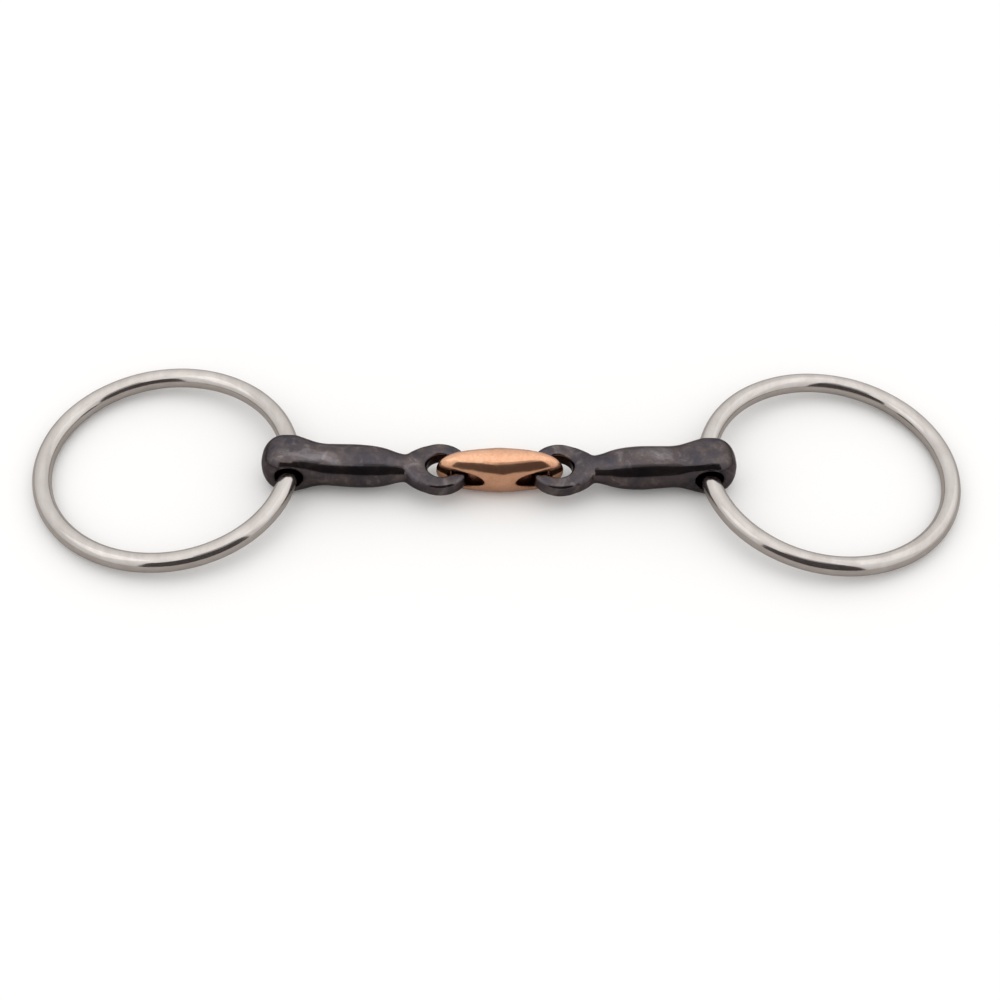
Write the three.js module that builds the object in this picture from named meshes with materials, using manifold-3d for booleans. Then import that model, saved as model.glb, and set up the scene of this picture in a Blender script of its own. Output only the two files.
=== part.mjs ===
// Loose-ring, double-jointed snaffle bit with a lozenge centre link.
// Millimetres, +Z up, +X along the mouthpiece. The bit lies flat, its lowest points at z = 0.
// Five separate pieces: two wire rings, two forged cannons and one cast centre link.

import * as THREE from 'three';
import { mergeVertices } from 'three/addons/utils/BufferGeometryUtils.js';
import Module from 'manifold-3d';

const wasm = await Module();
wasm.setup();

// Rings: round wire, 70 mm inside diameter.
const RING_INSIDE_DIAMETER = 70;
const WIRE_RADIUS = 3.0;
const RING_RADIUS = RING_INSIDE_DIAMETER / 2 + WIRE_RADIUS;
const RING_STEPS = 72;
const WIRE_SIDES = 16;

// Mouthpiece: distance between the ring holes, and height of its centre line. It lies a little
// slack, so its middle sags to -Y of the ring holes and each cannon stands at a small angle.
const MOUTH_WIDTH = 128;
const HOLE_X = MOUTH_WIDTH / 2;
const AXIS_Z = 7.6;
const SAG_Y = 2.4;

// Butt: the barrel at a cannon's outer end. It stands BUTT_CROWN past two flats that trim it.
const BUTT_REACH = 8.9;
const BUTT_LEVEL = 2.4;
const BUTT_HALF_WIDTH = 7.4;
const BUTT_CROWN = 0.2;
const BUTT_SQUARENESS = 3.1;
const BUTT_TIP_POWER = 2.3;
const FLARE_START_X = 52;

// Ring hole: through the butt across the cannon, opening out at both mouths.
const HOLE_RADIUS = 4.1;
const HOLE_MOUTH_RADIUS = 4.8;
const HOLE_MOUTH_DEPTH = 1.6;
const HOLE_SIDES = 32;

// Shaft: [distance from the bit's middle, half width, half height], from inside the eye to the butt.
const SHAFT = [
  [24.4, 6.6, 2.3],
  [26.0, 6.3, 2.8],
  [27.2, 5.6, 3.4],
  [28.8, 4.4, 4.0],
  [31.5, 4.8, 4.6],
  [35.0, 5.8, 5.7],
  [39.0, 6.4, 6.4],
  [44.0, 6.65, 6.65],
  [50.0, 6.5, 6.5],
  [54.5, 6.35, 6.35],
  [57.0, 6.4, 6.65],
  [60.0, 6.8, 7.3],
  [62.8, BUTT_HALF_WIDTH, AXIS_Z + BUTT_CROWN],
];
const SHAFT_STEP = 1.9;
const CANNON_SIDES = 24;

// Eye: the flat closed ring at a cannon's inner end. Its hole is a little nearer the bit's middle
// than its rim, so the eye is thickest where it joins the shaft.
const EYE_X = 18.4;
const EYE_RADIUS = 9.1;
const EYE_HOLE_X = 17.8;
const EYE_HOLE_RADIUS = 4.45;
const EYE_THICKNESS = 5.0;
const EYE_EDGE = 1.3;
const EYE_STEPS = 40;

// Centre link: an upright lozenge. [distance from its middle, half width, half height].
const LINK_HALF_LENGTH = 19.5;
const LINK_TAPER = [
  [0, 6.0, AXIS_Z],
  [6, 5.2, 7.45],
  [12, 4.1, 7.1],
  [15, 3.4, 6.8],
  [17.5, 3.0, 6.5],
  [LINK_HALF_LENGTH, 2.5, 6.2],
];
const LINK_SQUARENESS = 2.1;
const LINK_END_POWER = 6;
const LINK_STEP = 2;
const LINK_ROUNDING_X = 14;
const LINK_SIDES = 28;

// Slots: across the link near its ends, pointed towards its middle, each leaving an end bar.
const SLOT_INNER_X = 5.0;
const SLOT_OUTER_X = 15.3;
const SLOT_HEIGHT = 5.7;
const SLOT_NOSE = 6.5;
const SLOT_CORNER = 1.6;

// Cutters and trimming blocks reach at least this far past what they cut.
const CLEAR = 20;

// A closed solid from a three.js geometry: positions only, welded, without the flat triangles
// that a lathe makes at its axis.
function solid(geometry) {
  geometry.deleteAttribute('normal');
  geometry.deleteAttribute('uv');
  const welded = mergeVertices(geometry, 1e-4);
  const faces = [];
  for (let i = 0; i < welded.index.count; i += 3) {
    const [a, b, c] = [0, 1, 2].map((corner) => welded.index.getX(i + corner));
    if (a !== b && b !== c && c !== a) {
      faces.push(a, b, c);
    }
  }
  const mesh = new wasm.Mesh({
    numProp: 3,
    vertProperties: new Float32Array(welded.attributes.position.array),
    triVerts: new Uint32Array(faces),
  });
  return new wasm.Manifold(mesh);
}

// The three.js geometry of a finished solid.
function geometryOf(finished) {
  const mesh = finished.getMesh();
  const geometry = new THREE.BufferGeometry();
  geometry.setAttribute('position', new THREE.BufferAttribute(mesh.vertProperties, 3));
  geometry.setIndex(new THREE.BufferAttribute(mesh.triVerts, 1));
  geometry.computeVertexNormals();
  return geometry;
}

// One column of a station table as a smooth function of the distance in its first column.
function smoothColumn(table, column) {
  const curve = new THREE.SplineCurve(table.map((row) => new THREE.Vector2(row[0], row[column])));
  const samples = curve.getPoints(table.length * 20);
  return (distance) => {
    const found = samples.findIndex((sample) => sample.x > distance);
    const upper = found === -1 ? samples.length - 1 : Math.max(1, found);
    const low = samples[upper - 1];
    const high = samples[upper];
    const inside = THREE.MathUtils.clamp(distance, low.x, high.x);
    return THREE.MathUtils.mapLinear(inside, low.x, high.x, low.y, high.y);
  };
}

// A closed body along X with rounded-oval sections: a unit lathe, reshaped station by station.
// sectionAt(x) gives a half width, a half height and a squareness, where 2 is an ellipse.
function ovalBody(stations, sides, sectionAt) {
  const profile = [new THREE.Vector2(0, stations[0])];
  stations.forEach((x) => profile.push(new THREE.Vector2(1, x)));
  profile.push(new THREE.Vector2(0, stations[stations.length - 1]));
  const geometry = new THREE.LatheGeometry(profile, sides);
  const position = geometry.attributes.position;
  for (let i = 0; i < position.count; i += 1) {
    const x = position.getY(i);
    const across = position.getZ(i);
    const up = position.getX(i);
    const { width, height, squareness } = sectionAt(x);
    const size = (Math.abs(across) ** squareness + Math.abs(up) ** squareness) ** (1 / squareness);
    const scale = size > 0.1 ? 1 / size : 0;
    position.setXYZ(i, x, across * scale * width, up * scale * height);
  }
  return solid(geometry);
}

// Stations between two places, closer together towards the far one, where a body rounds off.
function roundingStations(from, to, count) {
  return Array.from({ length: count }, (_, i) => {
    const quarterTurn = ((i + 1) / count) * (Math.PI / 2) * 0.97;
    return from + (to - from) * Math.sin(quarterTurn);
  });
}

// A quarter-round corner on an outline, centred on (x, y) and starting at the given angle.
function corner(outline, x, y, radius, startAngle) {
  outline.absarc(x, y, radius, startAngle, startAngle + Math.PI / 2);
}

// A body turned about a vertical axis, from the side view of its right half.
function turned(profile, x) {
  const body = new THREE.LatheGeometry(profile.getPoints(2), EYE_STEPS);
  body.rotateX(Math.PI / 2);
  body.translate(x, 0, 0);
  return solid(body);
}

// The eye by itself, before its hole: a disc with a rounded rim.
function eyeDisc() {
  const half = EYE_THICKNESS / 2;
  const rim = EYE_RADIUS - EYE_EDGE;
  const profile = new THREE.Path();
  profile.moveTo(0, -half);
  profile.lineTo(rim, -half);
  corner(profile, rim, -half + EYE_EDGE, EYE_EDGE, -Math.PI / 2);
  corner(profile, rim, half - EYE_EDGE, EYE_EDGE, 0);
  profile.lineTo(0, half);
  return turned(profile, EYE_X);
}

// What is bored out of the eye: a round hole that rounds off at both faces.
function eyeHole() {
  const level = EYE_THICKNESS / 2 - EYE_EDGE;
  const mouth = EYE_HOLE_RADIUS + EYE_EDGE;
  const profile = new THREE.Path();
  profile.moveTo(0, -CLEAR);
  profile.lineTo(mouth, -CLEAR);
  profile.absarc(mouth, -level, EYE_EDGE, -Math.PI / 2, -Math.PI, true);
  profile.absarc(mouth, level, EYE_EDGE, Math.PI, Math.PI / 2, true);
  profile.lineTo(mouth, CLEAR);
  profile.lineTo(0, CLEAR);
  return turned(profile, EYE_HOLE_X);
}

// What is bored out of the butt: a round hole along Y with a cone at each mouth.
function ringHole() {
  const straight = BUTT_HALF_WIDTH - HOLE_MOUTH_DEPTH;
  const slope = (HOLE_MOUTH_RADIUS - HOLE_RADIUS) / HOLE_MOUTH_DEPTH;
  const coneRadius = HOLE_RADIUS + slope * CLEAR;
  const profile = [
    new THREE.Vector2(0, -straight - CLEAR),
    new THREE.Vector2(coneRadius, -straight - CLEAR),
    new THREE.Vector2(HOLE_RADIUS, -straight),
    new THREE.Vector2(HOLE_RADIUS, straight),
    new THREE.Vector2(coneRadius, straight + CLEAR),
    new THREE.Vector2(0, straight + CLEAR),
  ];
  const bore = new THREE.LatheGeometry(profile, HOLE_SIDES);
  bore.translate(HOLE_X, 0, 0);
  return solid(bore);
}

// Shaft and butt in one body, before the eye is joined and the hole bored.
function shaftAndButt() {
  const halfWidth = smoothColumn(SHAFT, 1);
  const halfHeight = smoothColumn(SHAFT, 2);
  const shaftStart = SHAFT[0][0];
  const shaftEnd = SHAFT[SHAFT.length - 1][0];

  const sectionAt = (x) => {
    const outward = Math.max(0, x - HOLE_X);
    const pastLevel = Math.max(0, outward - BUTT_LEVEL) / (BUTT_REACH - BUTT_LEVEL);
    const tipWidth = (1 - (outward / BUTT_REACH) ** BUTT_TIP_POWER) ** (1 / BUTT_TIP_POWER);
    const tipHeight = Math.sqrt(1 - pastLevel ** 2);
    const toButt = THREE.MathUtils.smoothstep(x, FLARE_START_X, shaftEnd);
    return {
      width: halfWidth(x) * tipWidth,
      height: halfHeight(x) * tipHeight,
      squareness: THREE.MathUtils.lerp(2, BUTT_SQUARENESS, toButt),
    };
  };

  const stations = [];
  for (let x = shaftStart; x < HOLE_X; x += SHAFT_STEP) {
    stations.push(x);
  }
  stations.push(HOLE_X, ...roundingStations(HOLE_X, HOLE_X + BUTT_REACH, 9));
  const flats = solid(new THREE.BoxGeometry(2 * (HOLE_X + CLEAR), 2 * CLEAR, 2 * AXIS_Z));
  return ovalBody(stations, CANNON_SIDES, sectionAt).intersect(flats);
}

// A whole cannon, straight along +X, with its centre line at z = 0.
function cannonGeometry() {
  return geometryOf(shaftAndButt().add(eyeDisc()).subtract(eyeHole()).subtract(ringHole()));
}

// One slot, near the link's +X end.
function slotCutter() {
  const half = SLOT_HEIGHT / 2;
  const outline = new THREE.Shape();
  corner(outline, SLOT_OUTER_X - SLOT_CORNER, -half + SLOT_CORNER, SLOT_CORNER, -Math.PI / 2);
  corner(outline, SLOT_OUTER_X - SLOT_CORNER, half - SLOT_CORNER, SLOT_CORNER, 0);
  outline.absellipse(SLOT_INNER_X + SLOT_NOSE, 0, SLOT_NOSE, half, Math.PI / 2, 1.5 * Math.PI);
  outline.closePath();
  const options = { depth: 2 * CLEAR, bevelEnabled: false, curveSegments: 5 };
  const cutter = new THREE.ExtrudeGeometry(outline, options);
  cutter.translate(0, 0, -CLEAR);
  cutter.rotateX(Math.PI / 2);
  return cutter;
}

// The centre link, along X, with its centre at the origin.
function linkGeometry() {
  const halfWidth = smoothColumn(LINK_TAPER, 1);
  const halfHeight = smoothColumn(LINK_TAPER, 2);
  const sectionAt = (x) => {
    const outward = Math.abs(x);
    const end = Math.sqrt(1 - (outward / LINK_HALF_LENGTH) ** LINK_END_POWER);
    return {
      width: halfWidth(outward) * end,
      height: halfHeight(outward) * end,
      squareness: LINK_SQUARENESS,
    };
  };
  const half = [];
  for (let x = LINK_STEP; x <= LINK_ROUNDING_X; x += LINK_STEP) {
    half.push(x);
  }
  half.push(...roundingStations(LINK_ROUNDING_X, LINK_HALF_LENGTH, 7));
  const mirrored = half.map((x) => -x).reverse();
  const lozenge = ovalBody([...mirrored, 0, ...half], LINK_SIDES, sectionAt);
  const rightSlot = solid(slotCutter());
  const leftSlot = solid(slotCutter().rotateZ(Math.PI));
  return geometryOf(lozenge.subtract(rightSlot).subtract(leftSlot));
}

// A ring whose wire runs through the origin along Y, and which reaches out along +X.
function ringGeometry() {
  const ring = new THREE.TorusGeometry(RING_RADIUS, WIRE_RADIUS, WIRE_SIDES, RING_STEPS);
  ring.translate(RING_RADIUS, 0, 0);
  return geometryOf(solid(ring));
}

function polishedSteel() {
  return new THREE.MeshStandardMaterial({ color: 0xcdc8c4, roughness: 0.18, metalness: 1 });
}

function sweetIron() {
  return new THREE.MeshStandardMaterial({ color: 0x3f3b40, roughness: 0.35, metalness: 1 });
}

function polishedCopper() {
  return new THREE.MeshStandardMaterial({ color: 0xe0a27c, roughness: 0.2, metalness: 1 });
}

function piece(name, geometry, material) {
  const mesh = new THREE.Mesh(geometry, material);
  mesh.name = name;
  return mesh;
}

// One side of the bit, +X for side = 1 and -X for side = -1: a cannon turned about its eye so that
// its butt meets the ring hole's place, and a ring tilted so that its far side rests on the ground.
function halfBit(name, side) {
  const turn = Math.asin(SAG_Y / (HOLE_X - EYE_HOLE_X));
  const cannon = piece(`${name}_cannon`, cannonGeometry(), sweetIron());
  cannon.position.x = -EYE_HOLE_X;
  const foldedAboutEye = new THREE.Group();
  foldedAboutEye.position.set(side * EYE_HOLE_X, -SAG_Y, AXIS_Z);
  foldedAboutEye.rotation.z = side === 1 ? turn : Math.PI - turn;
  foldedAboutEye.add(cannon);

  const ring = piece(`${name}_ring`, ringGeometry(), polishedSteel());
  ring.rotation.y = Math.asin((AXIS_Z - WIRE_RADIUS) / (2 * RING_RADIUS));
  const throughButt = new THREE.Group();
  throughButt.position.set(side * HOLE_X, 0, AXIS_Z);
  throughButt.rotation.z = side === 1 ? 0 : Math.PI;
  throughButt.add(ring);

  const half = new THREE.Group();
  half.add(foldedAboutEye, throughButt);
  return half;
}

function snaffleBit() {
  const link = piece('centre_link', linkGeometry(), polishedCopper());
  link.position.set(0, -SAG_Y, AXIS_Z);
  const bit = new THREE.Group();
  bit.add(link, halfBit('left', -1), halfBit('right', 1));
  return bit;
}

export default snaffleBit();
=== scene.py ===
"""Visual model of a loose-ring, double-jointed snaffle bit with a lozenge link.

The shapes are worked out in millimetres and put into Blender in metres, in the frame of the
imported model.
"""

import math

import bpy
import numpy as np
import openvdb
from mathutils import Matrix, Vector, noise


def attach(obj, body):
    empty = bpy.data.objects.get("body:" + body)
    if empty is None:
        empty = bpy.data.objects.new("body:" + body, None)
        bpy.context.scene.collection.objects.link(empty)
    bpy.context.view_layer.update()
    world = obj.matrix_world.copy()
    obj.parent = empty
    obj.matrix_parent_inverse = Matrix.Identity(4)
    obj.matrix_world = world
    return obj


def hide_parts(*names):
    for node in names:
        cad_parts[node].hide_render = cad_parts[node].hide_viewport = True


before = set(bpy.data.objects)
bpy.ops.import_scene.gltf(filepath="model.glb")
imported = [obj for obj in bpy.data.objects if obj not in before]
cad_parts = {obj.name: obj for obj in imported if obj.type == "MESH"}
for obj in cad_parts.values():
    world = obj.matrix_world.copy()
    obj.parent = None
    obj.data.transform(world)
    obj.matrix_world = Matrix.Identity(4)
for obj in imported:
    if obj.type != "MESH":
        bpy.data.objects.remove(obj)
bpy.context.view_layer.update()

METRES = 0.001

# Rings.
WIRE_RADIUS = 3.0
RING_RADIUS = 38.0
RING_STEPS = 420
WIRE_SIDES = 56
RING_SEED = 11

# Mouthpiece: ring holes at +-HOLE_X, centre line at AXIS_Z, middle SAG_Y towards -Y.
HOLE_X = 64.0
AXIS_Z = 7.6
SAG_Y = 2.4

# Butt.
BUTT_REACH = 8.9
BUTT_LEVEL = 2.4
BUTT_HALF_WIDTH = 7.4
BUTT_CROWN = 0.2
BUTT_HALF_HEIGHT = AXIS_Z + BUTT_CROWN
BUTT_SQUARENESS = 3.1
BUTT_TIP_POWER = 2.3
FLARE_START_X = 52.0
HOLE_RADIUS = 4.1
HOLE_MOUTH_RADIUS = 4.8
HOLE_MOUTH_DEPTH = 1.6

# Shaft: [distance from the bit's middle, half width, half height].
SHAFT = [
    [24.4, 6.6, 2.3],
    [26.0, 6.3, 2.8],
    [27.2, 5.6, 3.4],
    [28.8, 4.4, 4.0],
    [31.5, 4.8, 4.6],
    [35.0, 5.8, 5.7],
    [39.0, 6.4, 6.4],
    [44.0, 6.65, 6.65],
    [50.0, 6.5, 6.5],
    [54.5, 6.35, 6.35],
    [57.0, 6.4, 6.65],
    [60.0, 6.8, 7.3],
    [62.8, BUTT_HALF_WIDTH, BUTT_HALF_HEIGHT],
]

# Eye.
EYE_X = 18.4
EYE_RADIUS = 9.1
EYE_HOLE_X = 17.8
EYE_HOLE_RADIUS = 4.45
EYE_HALF_THICKNESS = 2.5
EYE_EDGE = 1.3

# Centre link: [distance from its middle, half width, half height].
LINK_HALF_LENGTH = 19.5
LINK_TAPER = [
    [0.0, 6.0, 7.6],
    [6.0, 5.2, 7.45],
    [12.0, 4.1, 7.1],
    [15.0, 3.4, 6.8],
    [17.5, 3.0, 6.5],
    [19.5, 2.5, 6.2],
]
LINK_SQUARENESS = 2.1
LINK_END_POWER = 6.0
SLOT_INNER_X = 5.0
SLOT_OUTER_X = 15.3
SLOT_HALF_HEIGHT = 2.85
SLOT_NOSE = 6.5
SLOT_CORNER = 1.6

# The crease across the middle of the link's plan is rounded over about LINK_CREASE, the root of
# LINK_CREASE_SQUARED.
LINK_CREASE = 0.894
LINK_CREASE_SQUARED = 0.8

# How far each edge is blended, and how finely the lofts are stepped before that. A loft's last
# section is at END_SHARE of a quarter turn, just short of a point.
FLAT_FILLET = 0.9
NECK_FILLET = 3.4
EYE_HOLE_FILLET = 1.6
RING_HOLE_FILLET = 1.2
SLOT_FILLET = 0.7
LOFT_SIDES = 96
STATION_STEP = 0.35
END_SHARE = 0.985

# Unevenness of each metal's surface: [(wavelength, height), ...]. The wire is made WIRE_SLACK
# thinner, so that its unevenness stays inside the CAD model's box.
IRON_WAVES = [(11.0, 0.13), (4.5, 0.028), (1.6, 0.008)]
COPPER_WAVES = [(8.0, 0.09), (3.2, 0.03), (1.4, 0.01)]
STEEL_WAVES = [(14.0, 0.05), (5.0, 0.018)]
WIRE_SLACK = 0.02
CANNON_SEED = 5
LINK_SEED = 3

# Distance fields.
VOXEL = 0.25
BAND = 3.5


# ---------------------------------------------------------------- meshes


def catmull_rom(table, column, per_span=20):
    """A smooth function of a table's first column, through every row."""
    rows = np.array(table, float)[:, [0, column]]
    last = len(rows) - 1
    samples = []
    for i in range(last):
        a, b = rows[max(i - 1, 0)], rows[i]
        c, d = rows[i + 1], rows[min(i + 2, last)]
        start, end = (c - a) / 2, (d - b) / 2
        for t in np.arange(per_span) / per_span:
            samples.append(
                (2 * b - 2 * c + start + end) * t**3
                + (-3 * b + 3 * c - 2 * start - end) * t**2
                + start * t
                + b
            )
    samples.append(rows[last])
    samples = np.array(samples)
    return lambda x: np.interp(x, samples[:, 0], samples[:, 1])


def smoothstep(x, low, high):
    t = np.clip((x - low) / (high - low), 0, 1)
    return t * t * (3 - 2 * t)


def loft(stations, widths, heights, squareness, sides):
    """A closed body along X with rounded-oval sections, as points and triangles."""
    turn = np.arange(sides) * 2 * math.pi / sides
    y, z = np.cos(turn)[None, :], np.sin(turn)[None, :]
    n = np.asarray(squareness, float)[:, None]
    size = (np.abs(y) ** n + np.abs(z) ** n) ** (1 / n)
    rows = np.empty((len(stations), sides, 3))
    rows[:, :, 0] = np.asarray(stations)[:, None]
    rows[:, :, 1] = y / size * np.asarray(widths)[:, None]
    rows[:, :, 2] = z / size * np.asarray(heights)[:, None]
    ends = np.array([[stations[0], 0, 0], [stations[-1], 0, 0]])
    points = np.vstack([rows.reshape(-1, 3), ends])
    triangles = []
    for i in range(len(stations) - 1):
        for j in range(sides):
            a, b = i * sides + j, i * sides + (j + 1) % sides
            c, d = a + sides, b + sides
            triangles += [(a, b, d), (a, d, c)]
    first, last = len(points) - 2, len(points) - 1
    top = (len(stations) - 1) * sides
    for j in range(sides):
        k = (j + 1) % sides
        triangles += [(first, k, j), (last, top + j, top + k)]
    return points, np.array(triangles)


def prism(outline, half_depth):
    """An outline in XZ carried through Y on both sides, as points and triangles."""
    count = len(outline)
    near = np.array([[x, -half_depth, z] for x, z in outline])
    far = near * [1, -1, 1]
    centres = np.array([near.mean(0), far.mean(0)])
    points = np.vstack([near, far, centres])
    triangles = []
    for j in range(count):
        k = (j + 1) % count
        triangles += [(j, k, count + k), (j, count + k, count + j)]
        triangles += [(2 * count, k, j), (2 * count + 1, count + j, count + k)]
    return points, np.array(triangles)


class Field:
    """A block of space sampled every VOXEL, for distances to surfaces."""

    def __init__(self, low, high):
        self.low = np.array(low, float)
        self.shape = tuple(int(n) for n in np.ceil((np.array(high) - low) / VOXEL) + 1)
        axes = [self.low[k] + np.arange(self.shape[k]) * VOXEL for k in range(3)]
        self.x = axes[0][:, None, None]
        self.y = axes[1][None, :, None]
        self.z = axes[2][None, None, :]

    def distance(self, points, triangles):
        """Signed distance to a closed mesh, true within BAND of it."""
        grid = openvdb.FloatGrid.createLevelSetFromPolygons(
            (points - self.low).astype(np.float32),
            triangles=triangles.astype(np.uint32),
            transform=openvdb.createLinearTransform(VOXEL),
            halfWidth=BAND / VOXEL,
        )
        values = np.zeros(self.shape, np.float32)
        grid.copyToArray(values)
        return values

    def surface(self, values):
        """The zero surface, as points and quads."""
        grid = openvdb.FloatGrid(BAND)
        grid.copyFromArray(values.astype(np.float32))
        grid.transform = openvdb.createLinearTransform(VOXEL)
        points, quads = grid.convertToQuads(0.0)
        return points.astype(float) + self.low, quads.astype(int)


def smooth_union(a, b, radius):
    share = np.clip(0.5 + 0.5 * (b - a) / radius, 0, 1)
    return b + (a - b) * share - radius * share * (1 - share)


def smooth_cut(a, cutter, radius):
    """a without what is inside cutter, with the edge rounded."""
    return -smooth_union(-a, cutter, radius)


def outward(points, faces):
    """The faces turned so that they face out."""
    a, b, c = (points[faces[:, k]] for k in range(3))
    volume = np.einsum("ij,ij->i", a, np.cross(b, c)).sum()
    return faces if volume > 0 else faces[:, ::-1]


def neighbour_mean(points, faces):
    """The mean place of each point's neighbours."""
    total = np.zeros_like(points)
    count = np.zeros(len(points))
    for k in range(faces.shape[1]):
        here, there = faces[:, k], faces[:, (k + 1) % faces.shape[1]]
        np.add.at(total, here, points[there])
        np.add.at(total, there, points[here])
        np.add.at(count, here, 1)
        np.add.at(count, there, 1)
    return total / count[:, None]


def relaxed(points, faces, rounds=2):
    """The surface with its voxel steps evened out and its volume kept."""
    for _ in range(rounds):
        points = points + 0.5 * (neighbour_mean(points, faces) - points)
        points = points - 0.52 * (neighbour_mean(points, faces) - points)
    return points


def normals_of(points, faces):
    a, b, c = (points[faces[:, k]] for k in range(3))
    flat = np.cross(b - a, c - a)
    total = np.zeros_like(points)
    for k in range(faces.shape[1]):
        np.add.at(total, faces[:, k], flat)
    return total / np.linalg.norm(total, axis=1)[:, None]


def unevenness(points, seed, waves):
    """Slow random waves over a surface: [(wavelength, height), ...]."""
    total = np.zeros(len(points))
    for k, (wavelength, height) in enumerate(waves):
        shift = Vector((seed * 17.3 + k * 5.1, seed * 3.7, k * 9.2))
        places = points / wavelength
        total += height * np.array([noise.noise(Vector(p) + shift) for p in places])
    return total


def placed(points, turn, position):
    """Points turned about Z by an angle and moved, in metres."""
    c, s = math.cos(turn), math.sin(turn)
    turned = points @ np.array([[c, -s, 0], [s, c, 0], [0, 0, 1]]).T
    return (turned + position) * METRES


def new_piece(name, points, faces, body, node, material, recess_shade=None):
    mesh = bpy.data.meshes.new(name)
    mesh.from_pydata(points.tolist(), [], faces.tolist())
    mesh.polygons.foreach_set("use_smooth", np.ones(len(faces), bool))
    # The per-point values kept here mark where the material paints shade inside holes and slots.
    if recess_shade is not None:
        layer = mesh.attributes.new("recess_shade", "FLOAT", "POINT")
        layer.data.foreach_set("value", recess_shade.astype(np.float32))
    mesh.materials.append(material)
    mesh.update()
    piece = bpy.data.objects.new(name, mesh)
    bpy.context.scene.collection.objects.link(piece)
    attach(piece, body)
    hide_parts(node)
    return piece


def cannon_surface(seed):
    """A cannon straight along +X with its centre line at z = 0."""
    half_width = catmull_rom(SHAFT, 1)
    half_height = catmull_rom(SHAFT, 2)
    tip = np.sin(np.linspace(0, 1, 60) ** 0.8 * math.pi / 2 * END_SHARE) * BUTT_REACH
    stations = np.concatenate([np.arange(SHAFT[0][0], HOLE_X, STATION_STEP), HOLE_X + tip])
    past = np.maximum(0, stations - HOLE_X)
    past_level = np.maximum(0, past - BUTT_LEVEL) / (BUTT_REACH - BUTT_LEVEL)
    tip_width = (1 - (past / BUTT_REACH) ** BUTT_TIP_POWER) ** (1 / BUTT_TIP_POWER)
    tip_height = np.sqrt(1 - past_level**2)
    to_butt = smoothstep(stations, FLARE_START_X, SHAFT[-1][0])
    squareness = 2 + (BUTT_SQUARENESS - 2) * to_butt
    body = loft(
        stations,
        half_width(stations) * tip_width,
        half_height(stations) * tip_height,
        squareness,
        LOFT_SIDES,
    )

    space = Field((7, -11, -9), (HOLE_X + BUTT_REACH + 2, 11, 9))
    values = space.distance(*body)
    flats = np.abs(space.z) - AXIS_Z
    values = smooth_cut(values, -flats, FLAT_FILLET)

    from_eye = np.hypot(space.x - EYE_X, space.y)
    across = from_eye - (EYE_RADIUS - EYE_EDGE)
    up = np.abs(space.z) - (EYE_HALF_THICKNESS - EYE_EDGE)
    eye = np.hypot(np.maximum(across, 0), np.maximum(up, 0)) - EYE_EDGE
    eye = eye + np.minimum(np.maximum(across, up), 0)
    values = smooth_union(values, eye, NECK_FILLET)
    from_eye_hole = np.hypot(space.x - EYE_HOLE_X, space.y)
    values = smooth_cut(values, from_eye_hole - EYE_HOLE_RADIUS, EYE_HOLE_FILLET)

    from_hole = np.hypot(space.x - HOLE_X, space.z)
    straight = BUTT_HALF_WIDTH - HOLE_MOUTH_DEPTH
    flare = np.maximum(0, np.abs(space.y) - straight) / HOLE_MOUTH_DEPTH
    bore = HOLE_RADIUS + flare * (HOLE_MOUTH_RADIUS - HOLE_RADIUS)
    values = smooth_cut(values, from_hole - bore, RING_HOLE_FILLET)

    points, faces = space.surface(values)
    faces = outward(points, faces)
    points = relaxed(points, faces)
    in_bore = np.hypot(points[:, 0] - HOLE_X, points[:, 2]) - HOLE_RADIUS
    in_eye = np.hypot(points[:, 0] - EYE_HOLE_X, points[:, 1]) - EYE_HOLE_RADIUS
    # Painted shade: a mask that darkens the colour in and around the ring hole and the eye hole. It also
    # keeps the unevenness out of them.
    recess_shade = 1 - smoothstep(np.minimum(in_bore, in_eye), -0.1, 0.7)
    ridge = unevenness(points, seed, IRON_WAVES) * (1 - recess_shade)
    points = points + normals_of(points, faces) * ridge[:, None]
    points[:, 2] = np.clip(points[:, 2], -AXIS_Z, AXIS_Z)
    return points, faces, recess_shade


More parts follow.
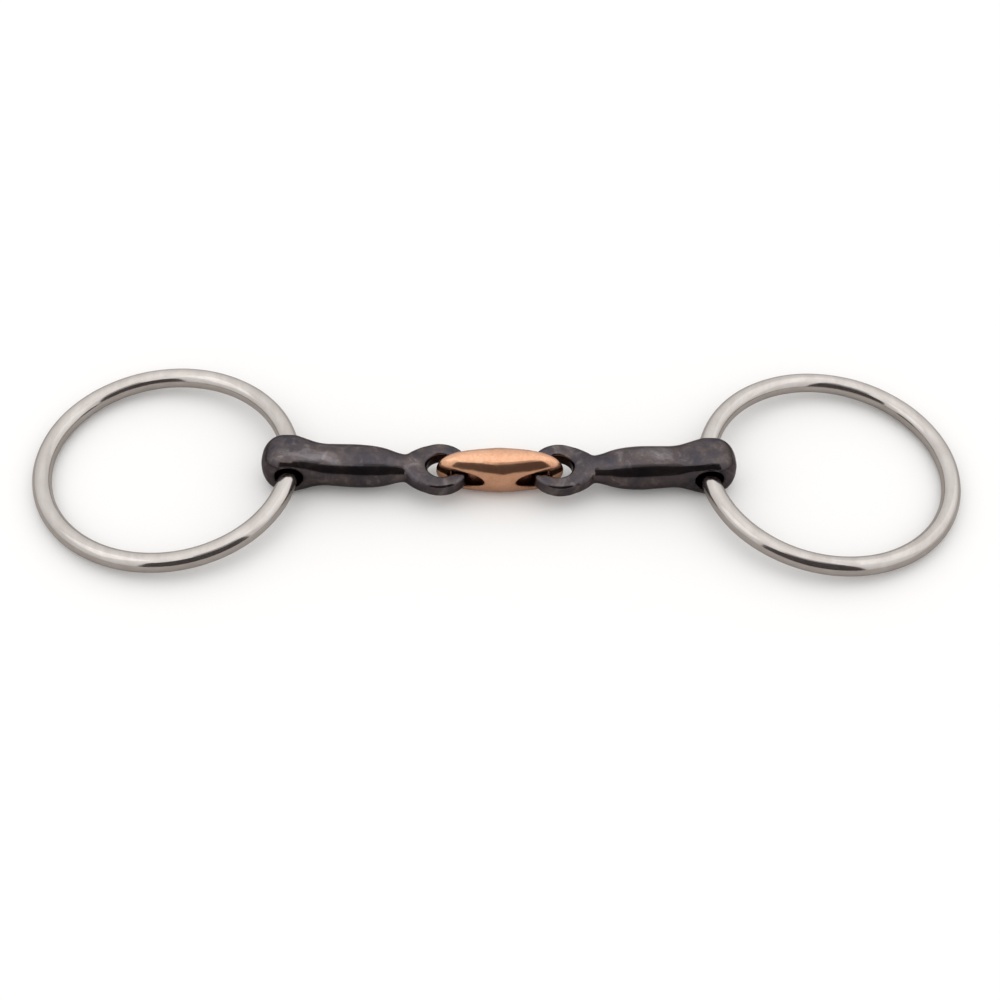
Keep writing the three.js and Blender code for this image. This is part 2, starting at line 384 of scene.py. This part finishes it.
def link_surface():
    """The centre link along X with its centre at the origin."""
    rows = np.array(LINK_TAPER)
    half_height = catmull_rom(LINK_TAPER, 2)
    bend = np.sin(np.linspace(0, 1, 110) * math.pi / 2 * END_SHARE) * LINK_HALF_LENGTH
    stations = np.concatenate([-bend[:0:-1], bend])
    away = np.sqrt(stations**2 + LINK_CREASE_SQUARED) - LINK_CREASE
    end = np.sqrt(1 - (np.abs(stations) / LINK_HALF_LENGTH) ** LINK_END_POWER)
    body = loft(
        stations,
        np.interp(away, rows[:, 0], rows[:, 1]) * end,
        half_height(np.abs(stations)) * end,
        np.full(len(stations), LINK_SQUARENESS),
        LOFT_SIDES,
    )
    space = Field((-21, -8, -9.5), (21, 8, 9.5))
    values = space.distance(*body)

    nose_x = SLOT_INNER_X + SLOT_NOSE
    corner_x = SLOT_OUTER_X - SLOT_CORNER
    corner_z = SLOT_HALF_HEIGHT - SLOT_CORNER
    outline = []
    for turn in np.linspace(-math.pi / 2, 0, 12):
        x, z = math.cos(turn) * SLOT_CORNER, math.sin(turn) * SLOT_CORNER
        outline.append((corner_x + x, -corner_z + z))
    for turn in np.linspace(0, math.pi / 2, 12):
        x, z = math.cos(turn) * SLOT_CORNER, math.sin(turn) * SLOT_CORNER
        outline.append((corner_x + x, corner_z + z))
    for turn in np.linspace(math.pi / 2, 1.5 * math.pi, 60):
        outline.append((nose_x + math.cos(turn) * SLOT_NOSE, math.sin(turn) * SLOT_HALF_HEIGHT))
    points, faces = prism(outline, 12)
    for side in (1, -1):
        cutter = space.distance(points * [side, side, 1], faces)
        values = smooth_cut(values, cutter, SLOT_FILLET)
    slots = np.minimum(space.distance(points, faces), space.distance(points * [-1, -1, 1], faces))

    points, faces = space.surface(values)
    faces = outward(points, faces)
    points = relaxed(points, faces)
    index = np.rint((points - space.low) / VOXEL).astype(int)
    # Painted shade, with some tarnish: a mask that darkens the copper in and around the slots. It also
    # keeps the unevenness out of them.
    recess_shade = 1 - smoothstep(slots[index[:, 0], index[:, 1], index[:, 2]], 0.0, 0.7)
    ridge = unevenness(points, LINK_SEED, COPPER_WAVES) * (1 - recess_shade)
    points = points + normals_of(points, faces) * ridge[:, None]
    points[:, 2] = np.clip(points[:, 2], -AXIS_Z, AXIS_Z)
    return points, faces, recess_shade


def ring_surface(seed):
    """A ring whose wire runs through the origin along Y and which reaches out along +X."""
    round_ring = np.arange(RING_STEPS)[:, None] * 2 * math.pi / RING_STEPS
    round_wire = np.arange(WIRE_SIDES)[None, :] * 2 * math.pi / WIRE_SIDES
    centre = np.stack([np.cos(round_ring), np.sin(round_ring), 0 * round_ring], -1)
    across = np.stack(
        [
            np.cos(round_wire) * np.cos(round_ring),
            np.cos(round_wire) * np.sin(round_ring),
            np.sin(round_wire) + 0 * round_ring,
        ],
        -1,
    )
    points = (centre * RING_RADIUS + across * WIRE_RADIUS).reshape(-1, 3)
    lumps = unevenness(points, seed, STEEL_WAVES)
    points = points + across.reshape(-1, 3) * (lumps - WIRE_SLACK)[:, None]
    points[:, 0] += RING_RADIUS
    faces = []
    for i in range(RING_STEPS):
        for j in range(WIRE_SIDES):
            k, m = (i + 1) % RING_STEPS, (j + 1) % WIRE_SIDES
            faces.append(
                (i * WIRE_SIDES + j, k * WIRE_SIDES + j, k * WIRE_SIDES + m, i * WIRE_SIDES + m)
            )
    faces = np.array(faces)
    return points, outward(points, faces)


# ---------------------------------------------------------------- materials


class Nodes:
    """A material's node tree, built with short calls."""

    def __init__(self, name):
        self.material = bpy.data.materials.new(name)
        self.material.use_nodes = True
        self.tree = self.material.node_tree
        self.shader = self.tree.nodes["Principled BSDF"]

    def add(self, kind, **settings):
        node = self.tree.nodes.new(kind)
        for key, value in settings.items():
            setattr(node, key, value)
        return node

    def link(self, output, socket):
        self.tree.links.new(output, socket)

    def place(self, scale=(1, 1, 1)):
        """Places on the piece, in metres times scale."""
        where = self.add("ShaderNodeTexCoord")
        mapping = self.add("ShaderNodeMapping")
        mapping.inputs["Scale"].default_value = scale
        self.link(where.outputs["Object"], mapping.inputs["Vector"])
        return mapping.outputs["Vector"]

    def noise(self, scale, detail=4, roughness=0.55, distortion=0.0, where=None):
        node = self.add("ShaderNodeTexNoise")
        node.inputs["Scale"].default_value = scale
        node.inputs["Detail"].default_value = detail
        node.inputs["Roughness"].default_value = roughness
        node.inputs["Distortion"].default_value = distortion
        self.link(where or self.place(), node.inputs["Vector"])
        return node.outputs["Fac"]

    def ramp(self, factor, stops):
        node = self.add("ShaderNodeValToRGB")
        elements = node.color_ramp.elements
        while len(elements) < len(stops):
            elements.new(0.5)
        for element, (position, colour) in zip(elements, stops):
            element.position = position
            element.color = (*colour, 1)
        self.link(factor, node.inputs["Fac"])
        return node.outputs["Color"]

    def mix(self, factor, a, b):
        node = self.add("ShaderNodeMix", data_type="RGBA")
        for socket, value in ((node.inputs["Factor"], factor), (node.inputs[6], a), (node.inputs[7], b)):
            if isinstance(value, bpy.types.NodeSocket):
                self.link(value, socket)
            elif isinstance(value, tuple):
                socket.default_value = (*value, 1)
            else:
                socket.default_value = value
        return node.outputs[2]

    def range(self, factor, low, high):
        node = self.add("ShaderNodeMapRange")
        node.inputs["To Min"].default_value = low
        node.inputs["To Max"].default_value = high
        self.link(factor, node.inputs["Value"])
        return node.outputs["Result"]

    def attribute(self, name):
        return self.add("ShaderNodeAttribute", attribute_name=name).outputs["Fac"]

    def bump(self, height, strength, distance, under=None):
        node = self.add("ShaderNodeBump")
        node.inputs["Strength"].default_value = strength
        node.inputs["Distance"].default_value = distance
        self.link(height, node.inputs["Height"])
        if under is not None:
            self.link(under, node.inputs["Normal"])
        return node.outputs["Normal"]


def polished_steel():
    n = Nodes("ring_steel")
    patches = n.noise(95, 4, 0.6, 0.4)
    fine = n.noise(900, 5, 0.65)
    streaks = n.noise(260, 3, 0.5, 0.0, n.place((1.0, 0.22, 3.0)))
    colour = n.ramp(patches, [(0.3, (0.55, 0.503, 0.482)), (0.7, (0.64, 0.6, 0.582))])
    lined = n.ramp(streaks, [(0.35, (0.48, 0.45, 0.425)), (0.65, (0.66, 0.635, 0.61))])
    colour = n.mix(0.35, colour, lined)
    n.link(colour, n.shader.inputs["Base Color"])
    n.link(n.range(patches, 0.07, 0.17), n.shader.inputs["Roughness"])
    n.shader.inputs["Metallic"].default_value = 1
    lines = n.bump(streaks, 0.12, 0.0001)
    n.link(n.bump(fine, 0.08, 0.00004, lines), n.shader.inputs["Normal"])
    return n.material


def sweet_iron():
    n = Nodes("sweet_iron")
    clouds = n.noise(95, 5, 0.62, 0.9)
    patches = n.noise(330, 4, 0.6, 0.6)
    grain = n.noise(2400, 4, 0.7)
    blue = (0.042, 0.045, 0.058)
    purple = (0.082, 0.07, 0.08)
    brown = (0.118, 0.094, 0.088)
    pale = (0.3, 0.272, 0.285)
    colour = n.ramp(clouds, [(0.36, blue), (0.46, purple), (0.55, brown), (0.68, pale)])
    mottled = n.ramp(patches, [(0.36, blue), (0.48, purple), (0.57, brown), (0.7, pale)])
    colour = n.mix(0.42, colour, mottled)
    grained = n.ramp(grain, [(0.3, (0.05, 0.046, 0.052)), (0.7, (0.2, 0.176, 0.18))])
    colour = n.mix(0.22, colour, grained)
    # Painted shade: near-black brown in and around the holes, from the mask stored on the mesh.
    colour = n.mix(n.attribute("recess_shade"), colour, (0.042, 0.034, 0.031))
    n.link(colour, n.shader.inputs["Base Color"])
    n.link(n.range(clouds, 0.08, 0.24), n.shader.inputs["Roughness"])
    n.shader.inputs["Specular Tint"].default_value = (0.6, 0.58, 0.6, 1)
    n.shader.inputs["Metallic"].default_value = 1
    dents = n.bump(patches, 0.1, 0.0002)
    n.link(n.bump(grain, 0.12, 0.00005, dents), n.shader.inputs["Normal"])
    return n.material


def polished_copper():
    n = Nodes("link_copper")
    clouds = n.noise(200, 4, 0.6, 0.6)
    fine = n.noise(1300, 4, 0.65)
    colour = n.ramp(clouds, [(0.32, (0.76, 0.395, 0.235)), (0.68, (0.88, 0.51, 0.33))])
    flecked = n.ramp(fine, [(0.35, (0.62, 0.31, 0.18)), (0.65, (0.9, 0.56, 0.39))])
    colour = n.mix(0.28, colour, flecked)
    # Painted shade with some tarnish: dark brown in and around the slots, from the mask stored on the
    # mesh.
    colour = n.mix(n.attribute("recess_shade"), colour, (0.3, 0.13, 0.075))
    n.link(colour, n.shader.inputs["Base Color"])
    n.link(n.range(clouds, 0.12, 0.22), n.shader.inputs["Roughness"])
    n.shader.inputs["Metallic"].default_value = 1
    dents = n.bump(clouds, 0.1, 0.0002)
    n.link(n.bump(fine, 0.1, 0.00004, dents), n.shader.inputs["Normal"])
    return n.material


# ---------------------------------------------------------------- the bit


def make_bit():
    steel, iron, copper = polished_steel(), sweet_iron(), polished_copper()
    turn = math.asin(SAG_Y / (HOLE_X - EYE_HOLE_X))
    tilt = math.asin((AXIS_Z - WIRE_RADIUS) / (2 * RING_RADIUS))
    lean = np.array(Matrix.Rotation(tilt, 3, "Y"))
    for name, side in (("left", -1), ("right", 1)):
        points, faces, recess_shade = cannon_surface(side + CANNON_SEED)
        angle = turn if side == 1 else math.pi - turn
        pin = [side * EYE_HOLE_X, -SAG_Y, AXIS_Z]
        points = placed(points - [EYE_HOLE_X, 0, 0], angle, pin)
        cannon = f"{name}_cannon"
        new_piece(f"{name}_cannon_forging", points, faces, cannon, cannon, iron, recess_shade)

        points, faces = ring_surface(side + RING_SEED)
        angle = 0 if side == 1 else math.pi
        points = placed(points @ lean.T, angle, [side * HOLE_X, 0, AXIS_Z])
        ring = f"{name}_ring"
        new_piece(f"{name}_ring_wire", points, faces, ring, ring, steel)

    points, faces, recess_shade = link_surface()
    points = placed(points, 0, [0, -SAG_Y, AXIS_Z])
    link = "centre_link"
    new_piece("centre_lozenge", points, faces, link, link, copper, recess_shade)


# ---------------------------------------------------------------- stage

CAMERA_ELEVATION = 48.75
CAMERA_HEADING = -2.85
CAMERA_ROLL = 2.5
CAMERA_DISTANCE = 0.704
CAMERA_AIM = (0.0002, -0.0079, 0.0)
CAMERA_LENS = 82.55


def make_camera():
    heading, elevation = math.radians(CAMERA_HEADING), math.radians(CAMERA_ELEVATION)
    level = Vector((math.sin(heading), -math.cos(heading), 0))
    back = level * math.cos(elevation) + Vector((0, 0, math.sin(elevation)))
    right = Vector((math.cos(heading), math.sin(heading), 0))
    up = back.cross(right)
    roll = math.radians(CAMERA_ROLL)
    tilted_right = right * math.cos(roll) + up * math.sin(roll)
    tilted_up = back.cross(tilted_right)
    data = bpy.data.cameras.new("camera")
    data.lens = CAMERA_LENS
    data.sensor_width = 36
    data.clip_start = 0.01
    camera = bpy.data.objects.new("camera", data)
    bpy.context.scene.collection.objects.link(camera)
    turned = Matrix((tilted_right, tilted_up, back)).transposed().to_4x4()
    camera.matrix_world = Matrix.Translation(Vector(CAMERA_AIM) + back * CAMERA_DISTANCE) @ turned
    bpy.context.scene.camera = camera


def make_panel(name, corners, material):
    mesh = bpy.data.meshes.new(name)
    mesh.from_pydata(corners, [], [tuple(range(len(corners)))])
    mesh.materials.append(material)
    panel = bpy.data.objects.new(name, mesh)
    bpy.context.scene.collection.objects.link(panel)
    return panel


def make_floor():
    """A pale floor, shaded greyer for the rays that the metal reflects."""
    n = Nodes("floor")
    n.shader.inputs["Base Color"].default_value = (0.95, 0.95, 0.95, 1)
    n.shader.inputs["Roughness"].default_value = 0.9
    n.shader.inputs["Specular IOR Level"].default_value = 0.1
    shade = n.add("ShaderNodeBsdfDiffuse")
    shade.inputs["Color"].default_value = (0.5, 0.475, 0.455, 1)
    rays = n.add("ShaderNodeLightPath")
    mix = n.add("ShaderNodeMixShader")
    n.link(rays.outputs["Is Glossy Ray"], mix.inputs["Fac"])
    n.link(n.shader.outputs["BSDF"], mix.inputs[1])
    n.link(shade.outputs["BSDF"], mix.inputs[2])
    n.link(mix.outputs["Shader"], n.tree.nodes["Material Output"].inputs["Surface"])
    half = 3.0
    corners = [(-half, -half, 0), (half, -half, 0), (half, half, 0), (-half, half, 0)]
    make_panel("floor", corners, n.material)


def make_card(name, corners, share):
    """A dark card in front, seen only in the metal."""
    n = Nodes(name)
    n.shader.inputs["Base Color"].default_value = (0.065, 0.056, 0.055, 1)
    n.shader.inputs["Roughness"].default_value = 0.9
    n.shader.inputs["Alpha"].default_value = share
    card = make_panel(name, corners, n.material)
    card.visible_camera = False
    card.visible_diffuse = False
    card.visible_shadow = False


def make_world():
    world = bpy.data.worlds.new("studio")
    bpy.context.scene.world = world
    world.use_nodes = True
    tree = world.node_tree
    where = tree.nodes.new("ShaderNodeTexCoord")
    split = tree.nodes.new("ShaderNodeSeparateXYZ")
    ramp = tree.nodes.new("ShaderNodeValToRGB")
    elements = ramp.color_ramp.elements
    elements.new(0.7)
    for element, (height, level) in zip(elements, ((0.0, 0.6), (0.7, 0.82), (1.0, 1.0))):
        element.position = height
        element.color = (level, level * 0.99, level * 0.975, 1)
    tree.links.new(where.outputs["Generated"], split.inputs["Vector"])
    tree.links.new(split.outputs["Z"], ramp.inputs["Fac"])
    background = tree.nodes["Background"]
    tree.links.new(ramp.outputs["Color"], background.inputs["Color"])
    background.inputs["Strength"].default_value = 1.25


def make_softbox(name, place, size, brightness):
    """A square light that faces the bit and is that much brighter than the sky behind it."""
    data = bpy.data.lights.new(name, "AREA")
    data.shape = "SQUARE"
    data.size = size
    data.energy = brightness * math.pi * size * size
    light = bpy.data.objects.new(name, data)
    bpy.context.scene.collection.objects.link(light)
    light.location = place
    light.rotation_euler = (-Vector(place)).to_track_quat("-Z", "Y").to_euler()
    light.visible_camera = False


def make_stage():
    make_floor()
    left, right = Vector((-0.2, -0.273, 0.004)), Vector((0.18, -0.17, 0.004))
    top, tall = Vector((0, 0, 0.27)), Vector((0, 0, 0.46))
    middle = left.lerp(right, 0.42)
    make_card("dark_card", [left, right, right + top, left + top], 1.0)
    make_card("half_dark_card", [middle + top, right + top, right + tall, middle + tall], 0.6)
    make_world()
    make_softbox("left_softbox", (-0.45, -0.1, 0.5), 0.4, 0.35)
    make_softbox("right_softbox", (0.7, 0.15, 0.6), 0.9, 0.18)
    bpy.context.scene.view_settings.view_transform = "Standard"


make_bit()
make_camera()
make_stage()
